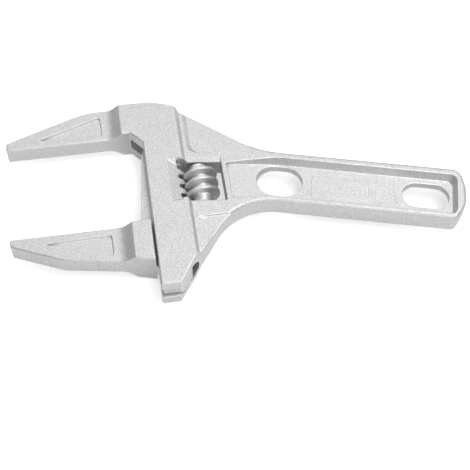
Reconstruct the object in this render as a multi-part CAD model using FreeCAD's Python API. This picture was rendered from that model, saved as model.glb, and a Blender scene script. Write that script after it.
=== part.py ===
"""Wide-opening adjustable wrench: a cast aluminium body with a fixed jaw, a sliding jaw and a worm.

Everything is drawn in the jaw frame: X runs from the jaw tips to the handle, Y is the slide's
direction, Z = 0 is the middle of the thickness. X = 0 is the head's front edge, where the sliding
jaw's root runs, and Y = 0 is the face of the fixed jaw. The parts are moved to their place on the
table, with the origin below the middle of the tool, when they are written.
"""
import FreeCAD, Part
import math
import os

V = FreeCAD.Vector

# Jaws
JAW_REACH = 61.0            # from the head's front edge to the jaw tips
OPENING = 48.0              # gap between the jaws as the tool is drawn
BLADE_HALF = 4.3            # half the thickness of the jaw blades and of the webs in the head
TIP_HEIGHT = 4.3            # height of the fixed jaw's blunt tip
MOVING_TIP_HEIGHT = 3.6
BACK_ANGLE = 19.9           # slope of the fixed jaw's back
MOVING_BACK_ANGLE = 24.0    # slope of the sliding jaw's back
MOVING_HEEL_ANGLE = 9.5     # and of its underside beyond the bend
CREST = (-4.0, 17.1)        # a point of the head's nearly level crest
CREST_ANGLE = -1.0
ROOT_FRONT = -0.95          # the root's edge beside the head
ROOT_DEPTH = 20.6           # from the sliding jaw's face to the root's outer corner
POCKET_DEPTH = 0.9          # the sunk triangles in the blades
FIXED_POCKET = ((-46.9, 3.86, 0), (-18.0, 14.0, 1.3), (-17.6, 2.6, 1.6))
MOVING_POCKET = ((-47.0, -4.13, 0), (-18.0, -3.3, 1.3), (-17.7, -14.6, 1.8))   # below that jaw's face

# Head
HEAD_HALF = 8.0             # half the thickness of the head band and of the sliding jaw's root
HEAD_BOTTOM = -80.8
HEAD_FOOT = 8.8             # width of the head's bottom end
HEEL_ANGLE = 54.7           # slope of the head's rear edge below the handle
SHOULDER = (24.9, 6.35)     # a point of the edge between the head's crest and the handle
SHOULDER_ANGLE = -40.0
BAND_RIGHT = 16.4           # where the thick band starts to step down to the arm
STEP_FOOT = 18.3
WEB_LEFT = 19.2             # where the arm's thin webs begin
CHAMFER_X, CHAMFER_Y = 5.2, 6.3   # the corner between fixed jaw and head
RAMP_FOOT, RAMP_TOP = -13.7, -9.0 # the slope from the blades up to the thick head

# Handle
HANDLE_TILT = -15.0
HANDLE_HALF = 5.2           # half the thickness of the handle's rims and of the arm
HANDLE_MID = -15.05         # distance of the handle's axis from the jaw frame's origin
HANDLE_WIDTH = 26.8
HANDLE_END = ((143.8, 13.4, 5), (146.4, 4, 15), (146.6, -5, 15), (142.4, -13.4, 2.5))
WEB_HALF = 1.6              # the thin floor between the handle's rims
WEB_RISE = 3.6              # the floor's height where it starts, at the window's rib
RIM_DRAFT = 1.8             # how far the rims' inner walls lean
EDGE_ROUND = 1.7
SOFT_EDGE = 0.5             # the casting's other outer edges

# Window, worm and rack
WINDOW_LEFT, WINDOW_RIGHT = 13.4, 33.5
WINDOW_TOP, WINDOW_BOTTOM = -18.0, -39.7   # at the worm's axis
WINDOW_LEAN = -6.5          # slope of the window's upper and lower edges
WORM_X = 23.1
WORM_RADIUS = 8.0
WORM_CORE = 4.9
PITCH = 5.2
THREAD_TOP, THREAD_BOTTOM = -21.3, -36.0
WORM_TOP, WORM_BOTTOM = -18.8, -39.0
THREAD_PHASE = -30.3        # height of a thread's crest where it faces the rack
THREAD_STEPS = 24           # flat steps in one turn of the thread
THREAD_LAND = 0.8           # half the width of the thread's crest
FLANK_ANGLE = 15.0
PIN_RADIUS = 2.0
PIN_BOTTOM, PIN_TOP = -43.4, 4.4
PIN_BORE_PLAY = 0.06
SPRING_COIL, SPRING_WIRE, SPRING_TURNS = 2.85, 0.32, 3
SPRING_SIDES = 6            # the fine wire is drawn six-sided
SPRING_STEPS = 18
SPRING_SEAT = 5.0           # depth of the spring's seat in the worm
SPRING_LENGTH = 4.65        # between the middles of its end coils, seat floor to window wall

BAR_X = 12.2                # axis of the round rack bar
BAR_RADIUS = 4.85
BAR_PLAY = 0.15
BAR_TOP = -4.0
RACK_ROOT = 13.8            # X of the floors between the rack's teeth
RACK_GAP_FLOOR = 1.05       # half the width of the floor between two teeth
RACK_END = -67.5            # the bar is cut down to the rack's root below this
TONGUE_HALF = 3.0
TONGUE_PLAY = 0.12
TONGUE_LEFT = -4.8
TONGUE_FRONT, TONGUE_BOTTOM = 0.7, -79.4   # of the web between the bar and the head's front edge
SLOT_LEFT = -5.1

# Slots through the handle's web: middle along the axis, length, half width
HANDLE_SLOTS = ((64.2, 20.7, 7.95), (129.1, 21.0, 6.6))
SLOT_OFFSET = -0.75         # the slots lie this far below the handle's axis


def slope(degrees):
    return math.tan(math.radians(degrees))


def meet(p, angle_p, q, angle_q):
    """Where the line through p at angle_p meets the line through q at angle_q."""
    a, b = slope(angle_p), slope(angle_q)
    x = (q[1] - p[1] + a * p[0] - b * q[0]) / (a - b)
    return x, p[1] + a * (x - p[0])


def on_handle(along, across):
    """A point of the handle, from its own axis, in the jaw frame."""
    tilt = math.radians(HANDLE_TILT)
    across += HANDLE_MID
    return (along * math.cos(tilt) - across * math.sin(tilt),
            along * math.sin(tilt) + across * math.cos(tilt))


def rounded(corners, z=0.0):
    """A closed wire through corners (x, y, radius), each rounded by its radius."""
    points = [V(x, y, z) for x, y, _ in corners]
    edges, count = [], len(corners)
    joints = []
    for i, (_, _, radius) in enumerate(corners):
        here = points[i]
        if radius == 0:
            joints.append((here, here, here, radius))
            continue
        before = (points[i - 1] - here).normalize()
        after = (points[(i + 1) % count] - here).normalize()
        half = before.getAngle(after) / 2
        reach = radius / math.tan(half)
        bisector = (before + after).normalize()
        middle = here + bisector * (radius / math.sin(half) - radius)
        joints.append((here + before * reach, middle, here + after * reach, radius))
    for i, (start, middle, end, radius) in enumerate(joints):
        if radius > 0:
            edges.append(Part.Arc(start, middle, end).toShape())
        following = joints[(i + 1) % count][0]
        if end.distanceToPoint(following) > 1e-6:
            edges.append(Part.LineSegment(end, following).toShape())
    return Part.Wire(edges)


def prism(corners, low, high):
    """A rounded outline extruded from z = low to z = high."""
    return Part.Face(rounded(corners, low)).extrude(V(0, 0, high - low))


def both_sides(solid):
    """A solid above the middle plane together with its mirror image below."""
    return Part.makeCompound([solid, solid.mirror(V(0, 0, 0), V(0, 0, 1))])


def sunk(mouth, floor, face, depth):
    """A pocket cutter from a mouth at z = face to a smaller floor below it."""
    rim = rounded(mouth, face)
    above = rim.copy()
    above.translate(V(0, 0, 4))
    return Part.makeLoft([rounded(floor, face - depth), rim, above], True, True)


def pocket(corners, floor, face, lean):
    """A pocket cutter from z = floor to z = face whose walls lean outward by lean at the face."""
    mouth = rounded(corners, face)
    inner = mouth.makeOffset2D(-lean)
    inner.translate(V(0, 0, floor - face))
    above = mouth.copy()
    above.translate(V(0, 0, 4))
    return Part.makeLoft([inner, mouth], True, True).fuse(Part.makeLoft([mouth, above], True, True))


def body_outline():
    """The outline of the whole casting, clockwise from the fixed jaw's tip."""
    back = (-JAW_REACH, TIP_HEIGHT)
    heel = (HEAD_FOOT, HEAD_BOTTOM)
    brow = meet(back, BACK_ANGLE, CREST, CREST_ANGLE)
    crown = meet(CREST, CREST_ANGLE, SHOULDER, SHOULDER_ANGLE)
    neck = meet(SHOULDER, SHOULDER_ANGLE, on_handle(0, HANDLE_WIDTH / 2), HANDLE_TILT)
    throat = meet(heel, HEEL_ANGLE, on_handle(0, -HANDLE_WIDTH / 2), HANDLE_TILT)
    end = [(*on_handle(along, across), radius) for along, across, radius in HANDLE_END]
    return [(-JAW_REACH, 0, 0.8), (*back, 1.6), (*brow, 38), (*crown, 33), (*neck, 49), *end,
            (*throat, 26), (*heel, 1.2), (0, HEAD_BOTTOM, 0.8),
            (0, -CHAMFER_Y, 0.8), (-CHAMFER_X, 0, 0.8)]


def across_profile(right):
    """The section across the jaws, from the thin blade up the ramp to the thick head."""
    side = [(-2 * JAW_REACH, BLADE_HALF, 0), (RAMP_FOOT, BLADE_HALF, 6), (RAMP_TOP, HEAD_HALF, 0.8),
            (right, HEAD_HALF, 0)]
    return side + [(x, -z, r) for x, z, r in reversed(side)]


def along_slide(profile):
    """A profile in X and Z extruded along the slide, long enough for any part of the tool."""
    sheet = Part.Face(rounded(profile)).extrude(V(0, 0, 200))
    sheet.rotate(V(0, 0, 0), V(1, 0, 0), 90)
    sheet.translate(V(0, 60, 0))
    return sheet


def outline_edges(solid, outline):
    """The edges that run along an outline, on the solid's upper and lower sides."""
    wall = rounded(outline)
    found = []
    for edge in solid.Edges:
        middle = edge.valueAt((edge.FirstParameter + edge.LastParameter) / 2)
        on_wall = wall.distToShape(Part.Vertex(middle.x, middle.y, 0))[0] < 0.01
        upright = edge.BoundBox.XLength + edge.BoundBox.YLength < 0.01
        if on_wall and not upright and abs(middle.z) > BLADE_HALF - 0.01:
            found.append(edge)
    return found


def blade_and_root(outline, right, sharp_from=200):
    """An outline with the jaw's section, its outer edges broken except to the right of sharp_from."""
    solid = prism(outline, -HEAD_HALF, HEAD_HALF).common(along_slide(across_profile(right)))
    edges = [e for e in outline_edges(solid, outline) if e.BoundBox.XMin < sharp_from]
    return solid.makeChamfer(SOFT_EDGE, edges)


def is_handle_edge(edge):
    """True for an edge of the handle's outline, on its upper or lower side."""
    box = edge.BoundBox
    return box.ZLength < 1e-4 and abs(abs(box.ZMin) - HANDLE_HALF) < 1e-4 and box.XMax > 20


def upper_web():
    """The thin corner of the arm between the head and the handle's upper rim."""
    foot, rise = -13.4, HANDLE_HALF - BLADE_HALF
    mouth = [(WEB_LEFT, 40, 0), (WEB_LEFT, foot, 5), (80, foot, 0), (80, 40, 0)]
    floor = [(WEB_LEFT + 2, 39.5, 0), (WEB_LEFT + 2, foot + 0.5, 4.5), (79.5, foot + 0.5, 0), (79.5, 39.5, 0)]
    return sunk(mouth, floor, HANDLE_HALF, rise)


def heel_web():
    """The sunk corner below the window, its floor rising gently to the head."""
    mouth = [(WEB_LEFT, -47.4, 1.5), (36.8, -47.4, 1.0), (27.4, -56.0, 18), (WEB_LEFT, -64.9, 0.6)]
    floor = [(WEB_LEFT + 3.6, -47.9, 1.0), (35.4, -47.9, 0.6), (27.0, -55.5, 17), (WEB_LEFT + 3.6, -59.2, 0.6)]
    return sunk(mouth, floor, HANDLE_HALF, HANDLE_HALF - BLADE_HALF)


def handle_and_arm():
    """The handle and the arm beside the head, with rounded outer edges and thin webs at the arm's corners."""
    blank = prism(body_outline(), -HANDLE_HALF, HANDLE_HALF)
    blank = blank.makeFillet(EDGE_ROUND, [e for e in blank.Edges if is_handle_edge(e)])
    beyond = Part.makeBox(90, 140, 20, V(1 - 90, -100, -10))
    return blank.cut([beyond, both_sides(upper_web()), both_sides(heel_web())])


def head():
    """The fixed jaw and the thick band that guides the sliding jaw, down to the step behind the band."""
    side = [(-2 * JAW_REACH, HEAD_HALF, 0), (BAND_RIGHT, HEAD_HALF, 0.8), (STEP_FOOT, BLADE_HALF, 0)]
    step = side + [(x, -z, r) for x, z, r in reversed(side)]
    return blade_and_root(body_outline(), 200).common(along_slide(step))


def window_corners():
    rise = slope(WINDOW_LEAN)
    at = lambda x, y: y + rise * (x - WORM_X)
    return [(WINDOW_LEFT, at(WINDOW_LEFT, WINDOW_TOP), 0.8), (WINDOW_RIGHT, at(WINDOW_RIGHT, WINDOW_TOP), 0.8),
            (WINDOW_RIGHT, at(WINDOW_RIGHT, WINDOW_BOTTOM), 0.8), (WINDOW_LEFT, at(WINDOW_LEFT, WINDOW_BOTTOM), 0.8)]


def handle_recess():
    """The sunk panel between the rims, from the window's rib to the handle's end."""
    upper, lower, end, left = 10.0, -11.2, 143.0, 35.6
    corners = [(left, -20.3, 0.8), (58.6, -20.75, 24), (*on_handle(end - 0.5, upper), 3.5),
               (*on_handle(end - 0.3, lower), 3.0), (49.5, -40.8, 16), (left, -40.2, 0.8)]
    floor = [(left + 0.3, -21.0, 0.6), (58.4, -22.6, 22), (*on_handle(end - 2.2, upper - RIM_DRAFT), 2.2),
             (*on_handle(end - 2.0, lower + 0.8), 2.0), (49.3, -40.0, 15), (left + 0.3, -39.7, 0.6)]
    cutter = sunk(corners, floor, HANDLE_HALF, HANDLE_HALF - WEB_HALF)
    rise = Part.makePolygon([V(30, -60, 0), V(30, -60, WEB_RISE + 0.35), V(58, -60, WEB_HALF), V(58, -60, 0),
                             V(30, -60, 0)])
    return cutter.cut(Part.Face(rise).extrude(V(0, 60, 0)))


def blade_pocket(corners, face=0):
    """The sunk triangle of a jaw whose working face lies at Y = face."""
    return pocket([(x, face + y, r) for x, y, r in corners], BLADE_HALF - POCKET_DEPTH, BLADE_HALF, 0.4)


def thumb_relief():
    """The hollow beside the window that lets a thumb reach the worm."""
    outer, inner, depth = WINDOW_LEFT - 4.0, WINDOW_LEFT + 1, 1.7
    top, bottom = WINDOW_TOP + 1.0, WINDOW_BOTTOM - 0.3
    mouth = [(outer, top, 0), (inner, top, 0), (inner, bottom, 0), (outer, bottom, 0)]
    floor = [(WINDOW_LEFT + 0.1, top - 2.8, 0), (inner, top - 2.8, 0), (inner, bottom + 1.8, 0),
             (WINDOW_LEFT + 0.1, bottom + 1.8, 0)]
    return sunk(mouth, floor, HEAD_HALF, depth)


def on_heel(along, inward, z):
    """A point near the head's slanting rear edge, along it from the head's foot and inward from it."""
    run = math.radians(HEEL_ANGLE)
    return V(HEAD_FOOT + along * math.cos(run) - inward * math.sin(run),
             HEAD_BOTTOM + along * math.sin(run) + inward * math.cos(run), z)


def heel_flat(stations):
    """Cuts the heel's wall to a slant that meets the head's face inward of the edge and runs out upward."""
    sections = []
    for along, inward, foot in stations:
        beyond = inward * (HEAD_HALF + 1.5 - foot) / (HEAD_HALF - foot)
        corners = [on_heel(along, 0, foot), on_heel(along, beyond, HEAD_HALF + 1.5),
                   on_heel(along, -4, HEAD_HALF + 1.5), on_heel(along, -4, foot)]
        sections.append(Part.makePolygon(corners + corners[:1]))
    return Part.makeLoft(sections, True, True)


def window_chamfer(start, end, width, depth, face):
    """Breaks the window's upper edge from X = start to end, at the arm's or the head's face."""
    rise = slope(WINDOW_LEAN)
    y = WINDOW_TOP + rise * (start - WORM_X)
    section = [V(start, y, face - depth), V(start, y + width, face), V(start, y + width, face + 1),
               V(start, y - width, face + 1), V(start, y - width, face - depth)]
    return Part.Face(Part.makePolygon(section + section[:1])).extrude(V(end - start, rise * (end - start), 0))


def label_pad():
    """The bare raised panel for a mark, on the upper side of the handle's web."""
    corners = [(*on_handle(along, across), 0.6)
               for along, across in ((78.6, -6.95), (78.6, 3.85), (103.8, 3.85), (103.8, -6.95))]
    return prism(corners, 0, WEB_HALF + 0.2)


def slide_channel():
    """The bore for the rack bar and the slot for the tongue, right through the head."""
    length = 120
    bore = Part.makeCylinder(BAR_RADIUS + BAR_PLAY, length, V(BAR_X, HEAD_BOTTOM - 5, 0), V(0, 1, 0))
    half = TONGUE_HALF + TONGUE_PLAY
    slot = Part.makeBox(BAR_X - SLOT_LEFT, length, 2 * half, V(SLOT_LEFT, HEAD_BOTTOM - 5, -half))
    return bore.fuse(slot)


def handle_slots():
    slots = []
    for middle, length, half in HANDLE_SLOTS:
        corners = [(*on_handle(middle + sx * length / 2, SLOT_OFFSET + sy * half), half * 0.999)
                   for sx, sy in ((-1, -1), (-1, 1), (1, 1), (1, -1))]
        slots.append(prism(corners, -9, 9))
    return Part.makeCompound(slots)


def body():
    casting = handle_and_arm().fuse(head()).removeSplitter()
    upper_heel = heel_flat(((-4, 0.2, 0), (17.5, 1.65, -2.5), (24, 0.05, 5)))
    lower_heel = heel_flat(((-4, 0.85, 0.5), (17.5, 0.85, 0.5), (24, 0.05, 5))).mirror(V(0, 0, 0), V(0, 0, 1))
    casting = casting.cut([upper_heel, lower_heel, both_sides(blade_pocket(FIXED_POCKET))])
    casting = casting.cut(both_sides(handle_recess())).fuse(label_pad())
    casting = casting.cut(prism(window_corners(), -9, 9))
    arm_edge = window_chamfer(STEP_FOOT, WINDOW_RIGHT, 2.2, 1.0, HANDLE_HALF)
    head_edge = window_chamfer(WINDOW_LEFT, STEP_FOOT, 0.8, 1.2, HEAD_HALF)
    casting = casting.cut([both_sides(cutter) for cutter in (thumb_relief(), arm_edge, head_edge)])
    casting = casting.cut(slide_channel())
    casting = casting.cut(handle_slots())
    hole = Part.makeCylinder(PIN_RADIUS, 60, V(WORM_X, PIN_BOTTOM, 0), V(0, 1, 0))
    return casting.cut(hole)


def rack_gap(height):
    """One gap of the rack, leaning with the worm's thread."""
    spread = (BAR_X + BAR_RADIUS + 1 - RACK_ROOT) * slope(FLANK_ANGLE)
    outer = BAR_X + BAR_RADIUS + 1
    corners = [V(RACK_ROOT, -RACK_GAP_FLOOR, 0), V(outer, -RACK_GAP_FLOOR - spread, 0),
               V(outer, RACK_GAP_FLOOR + spread, 0), V(RACK_ROOT, RACK_GAP_FLOOR, 0)]
    lead = PITCH / (2 * math.pi * (WORM_X - (RACK_ROOT + BAR_X + BAR_RADIUS) / 2))
    span = 2 * BAR_RADIUS
    gap = Part.Face(Part.makePolygon(corners + corners[:1])).extrude(V(0, lead * span, span))
    gap.translate(V(0, height - lead * span / 2, -span / 2))
    return gap


def heel_trim():
    """All that lies outside the head's rear edge, which the rack bar ends just inside of."""
    corners = [on_heel(-30, 1.0, -15), on_heel(60, 1.0, -15), on_heel(60, -20, -15), on_heel(-30, -20, -15)]
    return Part.Face(Part.makePolygon(corners + corners[:1])).extrude(V(0, 0, 30))


def jaw_slide():
    """The round bar and the tongue that joins it to the sliding jaw's root."""
    corner = -OPENING - ROOT_DEPTH
    tongue = [(TONGUE_LEFT, -OPENING - 6, 0), (TONGUE_LEFT, -OPENING + 4, 12), (-1.6, -11, 20), (0.9, BAR_TOP, 2.5),
              (BAR_X, BAR_TOP, 0), (BAR_X, TONGUE_BOTTOM, 0), (TONGUE_FRONT, TONGUE_BOTTOM, 0.5),
              (TONGUE_FRONT, corner - 2.2, 2), (ROOT_FRONT, corner, 0.5), (ROOT_FRONT - 4, corner + 4, 0)]
    bar = Part.makeCylinder(BAR_RADIUS, BAR_TOP - TONGUE_BOTTOM, V(BAR_X, TONGUE_BOTTOM, 0), V(0, 1, 0))
    bar = bar.makeChamfer(0.8, [e for e in bar.Edges if abs(e.BoundBox.YMin - BAR_TOP) < 1e-3])
    return bar.fuse(prism(tongue, -TONGUE_HALF, TONGUE_HALF))


def sliding_jaw():
    face = -OPENING
    corner = face - ROOT_DEPTH
    tip = (-JAW_REACH, face - MOVING_TIP_HEIGHT)
    heel = (-9.5, face - 18.3)
    keel = meet(tip, -MOVING_BACK_ANGLE, heel, -MOVING_HEEL_ANGLE)
    outline = [(-JAW_REACH, face, 0.8), (TONGUE_LEFT - 0.6, face, 0.5), (TONGUE_LEFT + 0.4, face + 1.1, 0.8),
               (ROOT_FRONT, face + 0.5, 0), (ROOT_FRONT, corner, 0), (*heel, 10), (*keel, 18), (*tip, 1.6)]
    root = blade_and_root(outline, 20, sharp_from=ROOT_FRONT - 0.5)
    jaw = root.fuse(jaw_slide()).removeSplitter()
    jaw = jaw.cut([heel_trim(), both_sides(blade_pocket(MOVING_POCKET, face))])
    gaps = [rack_gap(THREAD_PHASE + PITCH * k) for k in range(-7, 6)]
    run_out = Part.makeBox(2 * BAR_RADIUS, 20, 4 * BAR_RADIUS, V(RACK_ROOT, RACK_END - 20, -2 * BAR_RADIUS))
    return jaw.cut(Part.makeCompound(gaps)).cut(run_out)


def wound(corners, pitch, turns, steps):
    """A closed section in the XZ plane wound around Z as a right-handed ridge of short flat facets."""
    rings = []
    for step in range(math.ceil(turns * steps) + 1):
        turn = FreeCAD.Rotation(V(0, 0, 1), 360 * step / steps)
        rings.append([turn.multVec(corner + V(0, 0, pitch * step / steps)) for corner in corners])
    facets = [rings[0], rings[-1]]
    for ring, following in zip(rings, rings[1:]):
        for k in range(len(corners)):
            facets += [(ring[k - 1], ring[k], following[k]), (ring[k - 1], following[k], following[k - 1])]
    faces = [Part.Face(Part.makePolygon([*facet, facet[0]])) for facet in facets]
    solid = Part.Solid(Part.Shell(faces))
    return solid if solid.Volume > 0 else solid.reversed()


def thread_ridge():
    """The worm's ridge around Z, its crest facing the rack at THREAD_PHASE, cut flat at its two ends."""
    inner = WORM_CORE - 0.6
    wide = THREAD_LAND + (WORM_RADIUS - inner) * slope(FLANK_ANGLE)
    section = [V(inner, 0, -wide), V(WORM_RADIUS, 0, -THREAD_LAND), V(WORM_RADIUS, 0, THREAD_LAND),
               V(inner, 0, wide)]
    below = math.ceil((THREAD_PHASE - THREAD_BOTTOM) / PITCH) + 1
    above = math.ceil((THREAD_TOP - THREAD_PHASE) / PITCH) + 1
    ridge = wound(section, PITCH, below + above, THREAD_STEPS)
    ridge.rotate(V(0, 0, 0), V(0, 0, 1), 180)
    ridge.translate(V(0, 0, THREAD_PHASE - below * PITCH))
    side = 4 * WORM_RADIUS
    return ridge.common(Part.makeBox(side, side, THREAD_TOP - THREAD_BOTTOM, V(-side / 2, -side / 2, THREAD_BOTTOM)))


def on_worm_axis(shape):
    """Turns a shape built around Z so that it stands on the worm's axis, along Y."""
    shape = shape.copy()
    shape.rotate(V(0, 0, 0), V(1, 0, 0), -90)
    shape.translate(V(WORM_X, 0, 0))
    return shape


def worm():
    core = Part.makeCylinder(WORM_CORE, THREAD_TOP - THREAD_BOTTOM, V(0, 0, THREAD_BOTTOM))
    hub = Part.makeCylinder(WORM_CORE - 0.5, WORM_TOP - WORM_BOTTOM, V(0, 0, WORM_BOTTOM))
    hub = hub.makeChamfer(0.4, [e for e in hub.Edges if e.BoundBox.ZLength < 1e-6])
    screw = core.fuse(thread_ridge()).fuse(hub)
    bore = Part.makeCylinder(PIN_RADIUS + PIN_BORE_PLAY, 60, V(0, 0, -60))
    seat = Part.makeCylinder(SPRING_COIL + SPRING_WIRE + 0.35, 6, V(0, 0, WORM_TOP - SPRING_SEAT))
    return on_worm_axis(screw.cut(bore.fuse(seat)))


def worm_pin():
    length = PIN_TOP - PIN_BOTTOM
    pin = Part.makeCylinder(PIN_RADIUS - 0.005, length, V(0, 0, PIN_BOTTOM))
    rims = [e for e in pin.Edges if e.BoundBox.ZLength < 1e-6]
    return on_worm_axis(pin.makeChamfer(0.4, rims))


def worm_spring():
    around = [math.pi * (2 * k + 1) / SPRING_SIDES for k in range(SPRING_SIDES)]
    section = [V(SPRING_COIL + SPRING_WIRE * math.cos(a), 0, SPRING_WIRE * math.sin(a)) for a in around]
    coil = wound(section, SPRING_LENGTH / SPRING_TURNS, SPRING_TURNS, SPRING_STEPS)
    coil.translate(V(0, 0, WORM_TOP - SPRING_SEAT + SPRING_WIRE + 0.1))
    return on_worm_axis(coil)


def main():
    parts = {"body": body(), "sliding_jaw": sliding_jaw(), "worm": worm(), "worm_pin": worm_pin(),
             "worm_spring": worm_spring()}
    whole = Part.makeCompound(list(parts.values())).optimalBoundingBox(False)
    home = V(-round((whole.XMin + whole.XMax) / 2, 1), -round((whole.YMin + whole.YMax) / 2, 1), HEAD_HALF)
    os.makedirs("parts", exist_ok=True)
    for name, shape in parts.items():
        print(name, "valid" if shape.isValid() else "BROKEN", len(shape.Solids), round(shape.Volume, 1))
        shape.translated(home).exportStep(f"parts/{name}.step")
    print("origin moved by", home, "size", whole.XLength, whole.YLength)


main()
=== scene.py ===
import math

import bpy
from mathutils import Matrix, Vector


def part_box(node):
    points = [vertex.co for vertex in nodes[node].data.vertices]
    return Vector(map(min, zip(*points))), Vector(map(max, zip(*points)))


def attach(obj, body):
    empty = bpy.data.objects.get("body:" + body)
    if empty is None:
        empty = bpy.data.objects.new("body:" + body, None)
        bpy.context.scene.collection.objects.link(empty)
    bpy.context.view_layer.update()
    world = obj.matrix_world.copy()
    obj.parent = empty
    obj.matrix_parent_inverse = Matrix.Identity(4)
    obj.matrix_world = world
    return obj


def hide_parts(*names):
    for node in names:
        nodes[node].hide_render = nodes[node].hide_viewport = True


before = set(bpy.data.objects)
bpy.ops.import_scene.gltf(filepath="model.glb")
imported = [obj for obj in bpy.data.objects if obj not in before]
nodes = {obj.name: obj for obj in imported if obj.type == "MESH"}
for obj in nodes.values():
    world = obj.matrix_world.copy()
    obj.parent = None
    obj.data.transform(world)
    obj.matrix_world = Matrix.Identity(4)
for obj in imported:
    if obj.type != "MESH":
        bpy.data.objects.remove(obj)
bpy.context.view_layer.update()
print("frame loaded:", sorted(nodes))


# node helpers: an input takes a plain value, a colour of three numbers, or another node's output

def setInputs(tree, node, inputs):
    for name, value in inputs.items():
        socket = node.inputs[name]
        if isinstance(value, bpy.types.NodeSocket):
            tree.links.new(value, socket)
        elif isinstance(value, tuple) and socket.type == "RGBA":
            socket.default_value = (*value, 1)
        else:
            socket.default_value = value


def addNode(tree, kind, at=(0, 0), inputs=None, **settings):
    node = tree.nodes.new(kind)
    node.location = at
    for name, value in settings.items():
        setattr(node, name, value)
    setInputs(tree, node, inputs or {})
    return node


def mathNode(tree, operation, *values, at=(0, 0), clamp=False):
    node = addNode(tree, "ShaderNodeMath", at, dict(enumerate(values)),
                   operation=operation, use_clamp=clamp)
    return node.outputs["Value"]


def remap(tree, value, fromRange, toRange, at=(0, 0)):
    inputs = dict(enumerate((value, *fromRange, *toRange)))
    return addNode(tree, "ShaderNodeMapRange", at, inputs).outputs["Result"]


def combineNode(tree, x, y, z, at=(0, 0)):
    return addNode(tree, "ShaderNodeCombineXYZ", at, {0: x, 1: y, 2: z}).outputs["Vector"]


def objectPlace(tree, at=(0, 0)):
    return addNode(tree, "ShaderNodeTexCoord", at).outputs["Object"]


def newTree(idBlock):
    idBlock.use_nodes = True
    tree = idBlock.node_tree
    tree.nodes.clear()
    return tree


# camera and studio

studio = {
    "cameraPlace": (-0.04666, -0.26622, 0.38208),
    "cameraTurn": (33.2645, -0.8079, -8.6585),  # degrees
    "cameraLens": 79.5,
    "cameraSensor": 36.0,
    "worldColour": (1, 1, 1),
    "worldStrength": 0.2,
    "floorColour": (0.88, 0.88, 0.88),
    "floorSize": 7.0,
    "floorLift": -0.0002,
    "floorGlow": 0.52,
    "floorShine": 0.15,  # how much of the glow the metal shows
    # metres out from the origin, between which the camera sees the floor turn plain white
    "glowRise": (0.6, 1.4),
    "lamps": {  # power in watts, side in metres; each looks at the origin
        "highRight": {"power": 8.3, "side": 0.9, "place": (0.51, 0.0, 1.09)},
        "front": {"power": 3.9, "side": 0.6, "place": (0.0, -0.95, 0.74)},
        "back": {"power": 2.3, "side": 0.9, "place": (0.0, 0.85, 0.85)},
        "backLeft": {"power": 1.4, "side": 0.9, "place": (-0.6, 0.6, 0.85)},
    },
}


def addCamera(values):
    data = bpy.data.cameras.new("camera")
    data.sensor_width = values["cameraSensor"]
    data.lens = values["cameraLens"]
    camera = bpy.data.objects.new("camera", data)
    camera.location = values["cameraPlace"]
    camera.rotation_euler = [math.radians(a) for a in values["cameraTurn"]]
    bpy.context.scene.collection.objects.link(camera)
    bpy.context.scene.camera = camera


def addAreaLamp(name, values):
    data = bpy.data.lights.new(name, "AREA")
    data.energy = values["power"]
    data.shape = "SQUARE"
    data.size = values["side"]
    lamp = bpy.data.objects.new(name, data)
    lamp.location = values["place"]
    lamp.visible_camera = False
    lamp.rotation_euler = (-Vector(values["place"])).to_track_quat("-Z", "Y").to_euler()
    bpy.context.scene.collection.objects.link(lamp)


def addWorld(values):
    world = bpy.data.worlds.new("studioWorld")
    bpy.context.scene.world = world
    tree = newTree(world)
    out = addNode(tree, "ShaderNodeOutputWorld", (300, 0))
    light = addNode(tree, "ShaderNodeBackground", (0, 0),
                    {"Color": values["worldColour"], "Strength": values["worldStrength"]})
    setInputs(tree, out, {"Surface": light.outputs["Background"]})


def paleFloor(values):
    material = bpy.data.materials.new("paleFloor")
    tree = newTree(material)
    out = addNode(tree, "ShaderNodeOutputMaterial", (600, 0))
    matte = addNode(tree, "ShaderNodeBsdfDiffuse", (0, 0), {"Color": values["floorColour"]})
    path = addNode(tree, "ShaderNodeLightPath", (-1000, -160)).outputs
    shine = mathNode(tree, "MULTIPLY", path["Is Glossy Ray"], values["floorShine"], at=(-800, -160))
    seen = mathNode(tree, "ADD", path["Is Camera Ray"], shine, at=(-600, -160))
    through = mathNode(tree, "ADD", seen, path["Is Transmission Ray"], at=(-400, -160), clamp=True)
    near = mathNode(tree, "MULTIPLY", through, values["floorGlow"], at=(-200, -160))
    outward = addNode(tree, "ShaderNodeVectorMath", (-800, -400),
                      {0: objectPlace(tree, (-1000, -400))}, operation="LENGTH")
    rise = remap(tree, outward.outputs["Value"], values["glowRise"],
                 (0, 1 - values["floorGlow"]), (-600, -400))
    far = mathNode(tree, "MULTIPLY", rise, path["Is Camera Ray"], at=(-400, -400))
    whole = mathNode(tree, "ADD", near, far, at=(-100, -300))
    glow = addNode(tree, "ShaderNodeEmission", (100, -160), {"Strength": whole})
    both = addNode(tree, "ShaderNodeAddShader", (300, 0),
                   {0: matte.outputs["BSDF"], 1: glow.outputs["Emission"]})
    setInputs(tree, out, {"Surface": both.outputs["Shader"]})
    return material


def addFloor(values):
    half = values["floorSize"] / 2
    lift = values["floorLift"]
    corners = [(-half, -half, lift), (half, -half, lift), (half, half, lift), (-half, half, lift)]
    mesh = bpy.data.meshes.new("floor")
    mesh.from_pydata(corners, [], [(0, 1, 2, 3)])
    mesh.materials.append(paleFloor(values))
    floor = bpy.data.objects.new("floor", mesh)
    bpy.context.scene.collection.objects.link(floor)


addCamera(studio)
addWorld(studio)
addFloor(studio)
for lampName, lampValues in studio["lamps"].items():
    addAreaLamp(lampName, lampValues)
bpy.context.scene.view_settings.view_transform = "Standard"
print("studio ready")


# shader groups shared by the finishes

unit = (0, 1)

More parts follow.
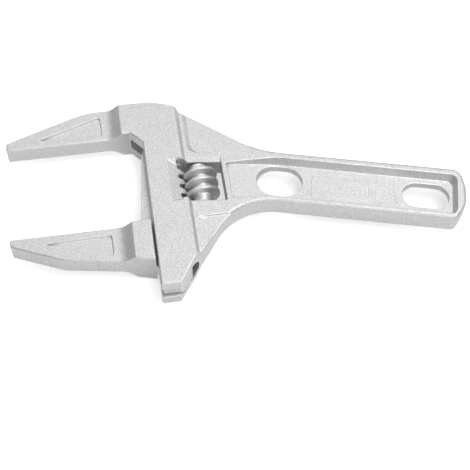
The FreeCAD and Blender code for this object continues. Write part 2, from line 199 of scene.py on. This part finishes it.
groupShapes = {
    "castSkin": {
        "fineDetail": 2.0, "fineRoughness": 0.6, "fineShare": 0.6,
        "coarseDetail": 2.0, "coarseRoughness": 0.55, "coarseShare": 0.4,
        "coarseScale": 0.5,  # of the fine grain's scale
        "blotchDetail": 3.0, "blotchRoughness": 0.6,
        "grainRange": (0.35, 0.65), "blotchRange": (0.3, 0.7),
    },
    "edgeWearAndHighlight": {
        "samples": 6,
        "turnRange": (0.995, 0.90),  # cosine of the bevel's turn: neither wear nor painted highlight, full wear and painted highlight
        "patchDetail": 3.0, "patchRoughness": 0.6,
        "patchRange": (0.35, 0.6), "patchWearAndHighlight": (0.35, 1),
    },
    "softEdge": {"samples": 8},
    "paintedShade": {"samples": 12, "openRange": (0.75, 0.25)},  # open air left: no painted shade, full painted shade
    "turnedMarks": {
        "markDetail": 2.0, "markRoughness": 0.7, "markRange": (0.3, 0.7),
        "smearScale": 420.0, "smearDetail": 3.0, "smearRoughness": 0.6, "smearRange": (0.3, 0.7),
    },
}


def newGroup(name, inputs, outputs, outputKind="NodeSocketFloat"):
    tree = bpy.data.node_groups.new(name, "ShaderNodeTree")
    for socketName in inputs:
        tree.interface.new_socket(socketName, in_out="INPUT", socket_type="NodeSocketFloat")
    for socketName in outputs:
        tree.interface.new_socket(socketName, in_out="OUTPUT", socket_type=outputKind)
    entry = addNode(tree, "NodeGroupInput", (-900, 0))
    return tree, entry.outputs, addNode(tree, "NodeGroupOutput", (900, 0))


def noiseNode(tree, coordinates, scale, detail, roughness, at=(0, 0)):
    inputs = {"Vector": coordinates, "Scale": scale, "Detail": detail, "Roughness": roughness}
    return addNode(tree, "ShaderNodeTexNoise", at, inputs).outputs["Fac"]


def bevelNormal(tree, radius, samples, at=(0, 0)):
    bevel = addNode(tree, "ShaderNodeBevel", at, {"Radius": radius}, samples=samples)
    return bevel.outputs["Normal"]


def castSkinGroup(shape):
    tree, entry, out = newGroup(
        "castSkin", ["Grain", "Blotch"], ["Grain Mask", "Blotch Mask", "Height"])
    place = objectPlace(tree, (-900, 300))
    fine = noiseNode(tree, place, entry["Grain"],
                     shape["fineDetail"], shape["fineRoughness"], (-500, 300))
    wider = mathNode(tree, "MULTIPLY", entry["Grain"], shape["coarseScale"], at=(-700, 60))
    coarse = noiseNode(tree, place, wider,
                       shape["coarseDetail"], shape["coarseRoughness"], (-500, 60))
    blotch = noiseNode(tree, place, entry["Blotch"],
                       shape["blotchDetail"], shape["blotchRoughness"], (-500, -200))
    finePart = mathNode(tree, "MULTIPLY", fine, shape["fineShare"], at=(-250, 300))
    coarsePart = mathNode(tree, "MULTIPLY", coarse, shape["coarseShare"], at=(-250, 60))
    grain = mathNode(tree, "ADD", finePart, coarsePart, at=(0, 200))
    setInputs(tree, out, {
        "Grain Mask": remap(tree, grain, shape["grainRange"], unit, (250, 200)),
        "Blotch Mask": remap(tree, blotch, shape["blotchRange"], unit, (250, -200)),
        "Height": grain,
    })
    return tree


# edge wear and painted highlight: edges found by the bevel normal are lightened in colour, partly
# as worn metal and partly as a painted highlight
def edgeWearAndHighlightGroup(shape):
    tree, entry, out = newGroup("edgeWearAndHighlight", ["Radius", "Breakup"], ["Mask"])
    rounded = bevelNormal(tree, entry["Radius"], shape["samples"], (-500, 100))
    flat = addNode(tree, "ShaderNodeNewGeometry", (-500, -150)).outputs["True Normal"]
    turn = addNode(tree, "ShaderNodeVectorMath", (-250, 0), {0: rounded, 1: flat},
                   operation="DOT_PRODUCT").outputs["Value"]
    edge = remap(tree, turn, shape["turnRange"], unit, (0, 0))
    patches = noiseNode(tree, objectPlace(tree, (-700, -300)), entry["Breakup"],
                        shape["patchDetail"], shape["patchRoughness"], (-250, -300))
    uneven = remap(tree, patches, shape["patchRange"], shape["patchWearAndHighlight"], (0, -300))
    setInputs(tree, out, {"Mask": mathNode(tree, "MULTIPLY", edge, uneven, at=(300, 0))})
    return tree


def softEdgeGroup(shape):
    tree, entry, out = newGroup("softEdge", ["Radius"], ["Normal"], "NodeSocketVector")
    rounded = bevelNormal(tree, entry["Radius"], shape["samples"], (-200, 0))
    setInputs(tree, out, {"Normal": rounded})
    return tree


# painted shade: an ambient-occlusion mask that marks recesses and gaps, where shade falls
def paintedShadeGroup(shape):
    tree, entry, out = newGroup("paintedShade", ["Reach"], ["Mask"])
    shade = addNode(tree, "ShaderNodeAmbientOcclusion", (-400, 0), {"Distance": entry["Reach"]},
                    samples=shape["samples"])
    paintedShadeMask = remap(tree, shade.outputs["AO"], shape["openRange"], unit, (0, 0))
    setInputs(tree, out, {"Mask": paintedShadeMask})
    return tree


def turnedMarksGroup(shape):
    tree, entry, out = newGroup(
        "turnedMarks", ["Fineness", "Centre X", "Centre Z"], ["Marks", "Smears", "Height"])
    place = objectPlace(tree, (-900, 300))
    parts = addNode(tree, "ShaderNodeSeparateXYZ", (-700, 300), {"Vector": place}).outputs
    across = mathNode(tree, "SUBTRACT", parts["X"], entry["Centre X"], at=(-500, 400))
    above = mathNode(tree, "SUBTRACT", parts["Z"], entry["Centre Z"], at=(-500, 200))
    squares = mathNode(tree, "ADD", mathNode(tree, "MULTIPLY", across, across, at=(-300, 400)),
                       mathNode(tree, "MULTIPLY", above, above, at=(-300, 200)), at=(-100, 300))
    radius = mathNode(tree, "SQRT", squares, at=(50, 300))
    ring = combineNode(tree, radius, parts["Y"], 0.0, (200, 300))  # the same all round the axis
    marks = noiseNode(tree, ring, entry["Fineness"],
                      shape["markDetail"], shape["markRoughness"], (400, 300))
    smears = noiseNode(tree, place, shape["smearScale"],
                       shape["smearDetail"], shape["smearRoughness"], (400, 0))
    setInputs(tree, out, {
        "Marks": remap(tree, marks, shape["markRange"], unit, (600, 300)),
        "Smears": remap(tree, smears, shape["smearRange"], unit, (600, 0)),
        "Height": marks,
    })
    return tree


castSkin = castSkinGroup(groupShapes["castSkin"])
edgeWearAndHighlight = edgeWearAndHighlightGroup(groupShapes["edgeWearAndHighlight"])
softEdge = softEdgeGroup(groupShapes["softEdge"])
paintedShade = paintedShadeGroup(groupShapes["paintedShade"])
turnedMarks = turnedMarksGroup(groupShapes["turnedMarks"])
print("shader groups ready")


# finishes

def groupNode(tree, group, inputs, at=(0, 0)):
    return addNode(tree, "ShaderNodeGroup", at, inputs, node_tree=group).outputs


def mixColour(tree, factor, first, second, at=(0, 0)):
    node = addNode(tree, "ShaderNodeMix", at, {0: factor}, data_type="RGBA")
    slots = [index for index, socket in enumerate(node.inputs) if socket.type == "RGBA"]
    setInputs(tree, node, dict(zip(slots, (first, second))))
    return next(socket for socket in node.outputs if socket.type == "RGBA")


def finishMaterial(name):
    material = bpy.data.materials.new(name)
    tree = newTree(material)
    out = addNode(tree, "ShaderNodeOutputMaterial", (900, 0))
    surface = addNode(tree, "ShaderNodeBsdfPrincipled", (600, 0), {"Metallic": 1.0})
    setInputs(tree, out, {"Surface": surface.outputs["BSDF"]})
    return material, tree, surface


def bumpNormal(tree, height, values):
    rounded = groupNode(tree, softEdge, {"Radius": values["edgeRadius"]}, (50, -550))
    inputs = {"Distance": values["bumpDepth"], "Strength": values["bumpStrength"],
              "Normal": rounded["Normal"], "Height": height}
    return addNode(tree, "ShaderNodeBump", (300, -400), inputs).outputs["Normal"]


# paints shade into the base colour: recesses and gaps are mixed towards a near-black colour
def paintShadeInCrevices(tree, colour, values):
    paintedShadeOutputs = groupNode(tree, paintedShade, {"Reach": values["paintedShadeReach"]}, (100, 450))
    amount = mathNode(tree, "MULTIPLY", paintedShadeOutputs["Mask"], values["paintedShadeAmount"], at=(290, 450))
    return mixColour(tree, amount, colour, values["paintedShadeColour"], (350, 300))


def wearAndHighlightMask(tree, values):
    inputs = {"Radius": values["wearAndHighlightRadius"], "Breakup": values["wearAndHighlightBreakup"]}
    return groupNode(tree, edgeWearAndHighlight, inputs, (-600, -100))["Mask"]


def castAluminium(name, values):
    material, tree, surface = finishMaterial(name)
    skin = groupNode(tree, castSkin, {"Grain": values["grain"], "Blotch": values["blotch"]},
                     (-600, 200))
    wearAndHighlight = wearAndHighlightMask(tree, values)
    speckled = mixColour(tree, skin["Grain Mask"], values["dark"], values["light"], (-300, 200))
    blotchPart = mathNode(tree, "MULTIPLY", skin["Blotch Mask"], values["blotchAmount"],
                          at=(-300, 400))
    clouded = mixColour(tree, blotchPart, speckled, values["cloud"], (-50, 200))
    wearAndHighlightPart = mathNode(tree, "MULTIPLY", wearAndHighlight, values["wearAndHighlightAmount"], at=(-300, -100))
    # edges mixed towards a near-white colour: partly worn metal, partly a painted highlight
    wornAndHighlit = mixColour(tree, wearAndHighlightPart, clouded, values["bright"], (200, 200))
    rough = remap(tree, skin["Grain Mask"], unit, values["grainRoughness"], (-50, -100))
    setInputs(tree, surface, {
        "Base Color": paintShadeInCrevices(tree, wornAndHighlit, values),
        "Roughness": remap(tree, wearAndHighlight, unit, (rough, values["wornRoughness"]), (200, -100)),
        "Normal": bumpNormal(tree, skin["Height"], values),
    })
    return material


def machinedSteel(name, values):
    material, tree, surface = finishMaterial(name)
    axisX, axisZ = values["axis"]
    marks = groupNode(tree, turnedMarks,
                      {"Fineness": values["fineness"], "Centre X": axisX, "Centre Z": axisZ},
                      (-600, 200))
    lined = mixColour(tree, marks["Marks"], values["dark"], values["light"], (-300, 200))
    smearPart = mathNode(tree, "MULTIPLY", marks["Smears"], values["smearAmount"], at=(-300, 400))
    smeared = mixColour(tree, smearPart, lined, values["smear"], (-50, 200))
    # edges mixed towards a near-white colour: partly worn metal, partly a painted glint
    wornAndHighlit = mixColour(tree, wearAndHighlightMask(tree, values), smeared, values["bright"], (200, 200))
    roughRange = (values["roughness"] - values["smoother"], values["roughness"] + values["rougher"])
    setInputs(tree, surface, {
        "Base Color": paintShadeInCrevices(tree, wornAndHighlit, values),
        "Roughness": remap(tree, marks["Smears"], unit, roughRange, (0, -100)),
        "Normal": bumpNormal(tree, marks["Height"], values),
    })
    return material


wormLow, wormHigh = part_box("worm")
wormAxis = ((wormLow[0] + wormHigh[0]) / 2, (wormLow[2] + wormHigh[2]) / 2)  # x and z

bodyFinish = {
    "grain": 3600.0, "blotch": 150.0,
    "dark": (0.54, 0.545, 0.55), "light": (0.91, 0.915, 0.92),
    "cloud": (0.80, 0.80, 0.80), "blotchAmount": 0.22,
    # near-white edge colour: partly worn metal, partly a painted highlight
    "bright": (0.99, 0.99, 0.99), "wearAndHighlightRadius": 0.0008, "wearAndHighlightBreakup": 700.0, "wearAndHighlightAmount": 1.0,
    "grainRoughness": (0.66, 0.54),  # in the dark grain, in the light grain
    "wornRoughness": 0.36,
    "bumpDepth": 0.00006, "bumpStrength": 0.35, "edgeRadius": 0.0005,
    # near-black painted shade colour, with its reach and strength, for recesses and gaps
    "paintedShadeColour": (0.04, 0.04, 0.04), "paintedShadeReach": 0.0025, "paintedShadeAmount": 0.6,
}
jawFinish = dict(bodyFinish)
wormFinish = {
    "fineness": 2100.0, "axis": wormAxis,
    "dark": (0.66, 0.66, 0.67), "light": (0.99, 0.99, 0.99),
    "smear": (0.66, 0.66, 0.67), "smearAmount": 0.3,
    # near-white edge colour: partly worn metal, partly a painted glint
    "bright": (0.98, 0.98, 0.98), "wearAndHighlightRadius": 0.0003, "wearAndHighlightBreakup": 1200.0,
    "roughness": 0.43, "smoother": 0.05, "rougher": 0.08,
    "bumpDepth": 0.00002, "bumpStrength": 0.2, "edgeRadius": 0.0002,
    # near-black painted shade colour, with its reach and strength, for recesses and gaps
    "paintedShadeColour": (0.10, 0.10, 0.10), "paintedShadeReach": 0.0012, "paintedShadeAmount": 0.2,
}
pinFinish = dict(wormFinish, fineness=4200.0, roughness=0.26,
                 dark=(0.42, 0.42, 0.43), light=(0.6, 0.6, 0.61))
springFinish = dict(wormFinish, fineness=3600.0, roughness=0.35,
                    dark=(0.22, 0.22, 0.23), light=(0.38, 0.38, 0.39), smear=(0.2, 0.19, 0.18))


def dress(nodeName, material):
    mesh = nodes[nodeName].data
    mesh.materials.clear()
    mesh.materials.append(material)


turnedWorm = machinedSteel("turnedWorm", wormFinish)
dress("body", castAluminium("castBody", bodyFinish))
dress("sliding_jaw", castAluminium("castJaw", jawFinish))
dress("worm", turnedWorm)
dress("worm_pin", machinedSteel("groundPin", pinFinish))
dress("worm_spring", machinedSteel("springWire", springFinish))
print("finishes on")


# the worm: a right-handed thread on a turned core, with a bore for the pin and a spring seat

threadPitch = 0.0052
restCrest = 0.0014  # a crest lies here at rest, in mesh with the rack
turnsBelow = 2  # whole turns wound below that crest

wormShape = {  # metres, radians and counts; heights are along the worm's own axis
    "Outer Radius": 0.00798, "Core Radius": 0.0049, "Hub Radius": 0.0044,
    "Pitch": threadPitch, "Turns": 5.0, "Steps": 72,
    "Crest Width": 0.0016, "Root Width": 0.0032, "Crest Rounding": 0.00022, "Rounding Steps": 3,
    "Root Sink": 0.0006,  # how far the ridge reaches into the core
    "First Crest": restCrest - turnsBelow * threadPitch,
    "Thread Low": -0.0043, "Thread High": 0.0104,
    "Hub Low": wormLow[1], "Hub High": wormHigh[1],
    "Bore Radius": 0.00206, "Seat Radius": 0.00352, "Seat Depth": 0.005,
    "Sides": 96,  # of every cylinder
    "Band Oversize": 1.5,  # the band that trims the thread's ends, against the outer radius
    "Bore Overrun": 0.01,  # how far the bore's cutter runs past the hub
    "Sharp Angle": math.radians(38),
}


def moved(tree, geometry, inputs, at=(0, 0)):
    node = addNode(tree, "GeometryNodeTransform", at, {"Geometry": geometry, **inputs})
    return node.outputs["Geometry"]


def cylinderBetween(tree, sides, radius, low, high, at=(0, 0)):
    x, y = at
    depth = mathNode(tree, "SUBTRACT", high, low, at=(x - 200, y))
    rod = addNode(tree, "GeometryNodeMeshCylinder", at,
                  {"Vertices": sides, "Radius": radius, "Depth": depth})
    both = mathNode(tree, "ADD", high, low, at=(x - 200, y - 150))
    middle = mathNode(tree, "MULTIPLY", both, 0.5, at=(x, y - 250))
    lift = combineNode(tree, 0.0, 0.0, middle, (x + 100, y - 250))
    return moved(tree, rod.outputs["Mesh"], {"Translation": lift}, (x + 250, y))


def solidNode(tree, operation, first, others, at=(0, 0)):
    node = addNode(tree, "GeometryNodeMeshBoolean", at, operation=operation, solver="MANIFOLD")
    if operation == "DIFFERENCE":
        tree.links.new(first, node.inputs["Mesh 1"])
    else:
        others = [first, *others]
    for geometry in others:
        tree.links.new(geometry, node.inputs["Mesh 2"])
    return node.outputs["Mesh"]


def ridgeSection(tree, size):
    height = mathNode(tree, "SUBTRACT", size["Core Radius"], size["Outer Radius"], at=(-1100, 200))
    sunk = mathNode(tree, "SUBTRACT", height, size["Root Sink"], at=(-950, 200))
    corners = (("Root Width", -0.5, sunk), ("Root Width", 0.5, sunk),
               ("Crest Width", 0.5, 0.0), ("Crest Width", -0.5, 0.0))
    points = {}
    for k, (width, share, inward) in enumerate(corners):
        across = mathNode(tree, "MULTIPLY", size[width], share, at=(-950, 50 - 60 * k))
        points[f"Point {k + 1}"] = combineNode(tree, inward, across, 0.0, (-700, 200 - 60 * k))
    section = addNode(tree, "GeometryNodeCurvePrimitiveQuadrilateral", (-500, 250), points,
                      mode="POINTS")
    rounding = {"Curve": section.outputs["Curve"], "Radius": size["Crest Rounding"],
                "Count": size["Rounding Steps"]}
    rounded = addNode(tree, "GeometryNodeFilletCurve", (-300, 250), rounding, mode="POLY")
    return rounded.outputs["Curve"]


def woundRidge(tree, size):
    climb = mathNode(tree, "MULTIPLY", size["Pitch"], size["Turns"], at=(-1000, 400))
    path = addNode(tree, "GeometryNodeCurveSpiral", (-800, 500), {
        "Resolution": size["Steps"], "Rotations": size["Turns"], "Height": climb,
        "Start Radius": size["Outer Radius"], "End Radius": size["Outer Radius"],
        "Reverse": True,  # right-handed
    })
    upright = addNode(tree, "GeometryNodeSetCurveNormal", (-600, 500),
                      {"Curve": path.outputs["Curve"]}, mode="Z_UP")
    sweep = addNode(tree, "GeometryNodeCurveToMesh", (-100, 400), {
        "Curve": upright.outputs["Curve"], "Profile Curve": ridgeSection(tree, size),
        "Fill Caps": True,
    })
    outward = addNode(tree, "GeometryNodeFlipFaces", (0, 400), {"Mesh": sweep.outputs["Mesh"]})
    start = combineNode(tree, 0.0, 0.0, size["First Crest"], (-100, 200))
    return moved(tree, outward.outputs["Mesh"],
                 {"Translation": start, "Rotation": (0, 0, math.pi)}, (200, 400))


def smoothShaded(tree, geometry, sharpAngle):
    smooth = addNode(tree, "GeometryNodeSetShadeSmooth", (950, 0), {"Geometry": geometry},
                     domain="FACE")
    corner = addNode(tree, "GeometryNodeInputMeshEdgeAngle", (750, -250))
    isSharp = mathNode(tree, "GREATER_THAN", corner.outputs["Unsigned Angle"], sharpAngle,
                       at=(950, -250))
    creases = {"Geometry": smooth.outputs["Geometry"], "Selection": isSharp, "Shade Smooth": False}
    sharp = addNode(tree, "GeometryNodeSetShadeSmooth", (1150, 0), creases, domain="EDGE")
    return sharp.outputs["Geometry"]


def wormTree(values):
    tree = bpy.data.node_groups.new("threadedWorm", "GeometryNodeTree")
    for name, value in values.items():
        kind = "NodeSocketInt" if isinstance(value, int) else "NodeSocketFloat"
        tree.interface.new_socket(name, in_out="INPUT", socket_type=kind).default_value = value
    tree.interface.new_socket("Finish", in_out="INPUT", socket_type="NodeSocketMaterial")
    tree.interface.new_socket("Geometry", in_out="OUTPUT", socket_type="NodeSocketGeometry")
    size = addNode(tree, "NodeGroupInput", (-1400, 0)).outputs

    def rod(radius, low, high, at):
        return cylinderBetween(tree, size["Sides"], radius, low, high, at)

    wide = mathNode(tree, "MULTIPLY", size["Outer Radius"], size["Band Oversize"], at=(-400, -100))
    band = rod(wide, size["Thread Low"], size["Thread High"], (-200, 0))
    thread = solidNode(tree, "INTERSECT", woundRidge(tree, size), [band], (350, 300))
    core = rod(size["Core Radius"], size["Thread Low"], size["Thread High"], (-200, -400))
    hub = rod(size["Hub Radius"], size["Hub Low"], size["Hub High"], (-200, -800))
    whole = solidNode(tree, "UNION", thread, [core, hub], (550, 100))
    below = mathNode(tree, "SUBTRACT", size["Hub Low"], size["Bore Overrun"], at=(-400, -1200))
    above = mathNode(tree, "ADD", size["Hub High"], size["Bore Overrun"], at=(-400, -1300))
    seatFloor = mathNode(tree, "SUBTRACT", size["Hub High"], size["Seat Depth"], at=(-400, -1600))
    bore = rod(size["Bore Radius"], below, above, (-100, -1200))
    seat = rod(size["Seat Radius"], seatFloor, above, (-100, -1600))
    bored = solidNode(tree, "DIFFERENCE", whole, [bore, seat], (750, 0))
    shaded = smoothShaded(tree, bored, size["Sharp Angle"])
    lying = moved(tree, shaded, {"Rotation": (-math.pi / 2, 0, 0)}, (1350, 0))
    real = addNode(tree, "GeometryNodeRealizeInstances", (1550, 0), {"Geometry": lying})
    finish = addNode(tree, "GeometryNodeSetMaterial", (1750, 0),
                     {"Geometry": real.outputs["Geometry"], "Material": size["Finish"]})
    addNode(tree, "NodeGroupOutput", (1950, 0), {"Geometry": finish.outputs["Geometry"]})
    return tree


def grown(name, tree, values):
    seed = bpy.data.objects.new(name, bpy.data.meshes.new(name))
    bpy.context.scene.collection.objects.link(seed)
    modifier = seed.modifiers.new("grow", "NODES")
    modifier.node_group = tree
    for item in tree.interface.items_tree:
        if item.in_out == "INPUT" and item.name in values:
            modifier[item.identifier] = values[item.name]
    bpy.context.view_layer.update()
    grownSeed = seed.evaluated_get(bpy.context.evaluated_depsgraph_get())
    mesh = bpy.data.meshes.new_from_object(grownSeed)
    seed.modifiers.remove(modifier)
    seed.data = mesh
    return seed


wormPiece = grown("threadedWorm", wormTree(wormShape), dict(wormShape, Finish=turnedWorm))
for vertex in wormPiece.data.vertices:
    vertex.co.x += wormAxis[0]
    vertex.co.z += wormAxis[1]
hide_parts("worm")
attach(wormPiece, "worm")
print("worm wound:", len(wormPiece.data.polygons), "faces")
